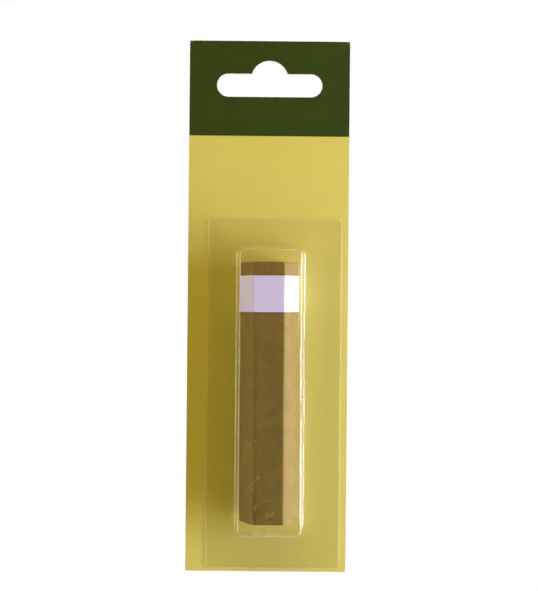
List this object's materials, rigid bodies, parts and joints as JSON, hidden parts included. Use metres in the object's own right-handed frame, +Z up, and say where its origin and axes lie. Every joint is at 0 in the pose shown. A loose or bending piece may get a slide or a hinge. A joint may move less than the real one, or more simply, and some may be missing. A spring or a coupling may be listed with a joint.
{
  "type": "furniture repair wax stick",
  "caption": "Hexagonal furniture repair wax stick with a paper shade label, loose in a clear blister pocket sealed to a printed hang card with a euro slot.",
  "frame": {"origin": "crown of the hang slot on the front face of the card, where a hook carries the pack", "axes": "+Z up along the height of the card, the front faces -Y, +X to the right of someone facing the front"},
  "size_m": [0.0488, 0.0163, 0.1612],
  "materials": {
    "printed_board": "satin",
    "clear_sheet": "gloss",
    "wax": "satin",
    "label_paper": "matte"
  },
  "bodies": {
    "pack": {"backing_card": "printed_board", "blister": "clear_sheet"},
    "stick": {"wax_stick": "wax", "shade_label": "label_paper"}
  },
  "joints": [
    {"name": "stick_slide", "type": "slide", "parent": "pack", "child": "stick", "axis": [0, 0, 1], "range_m": [-0.0029, 0.0034]}
  ]
}
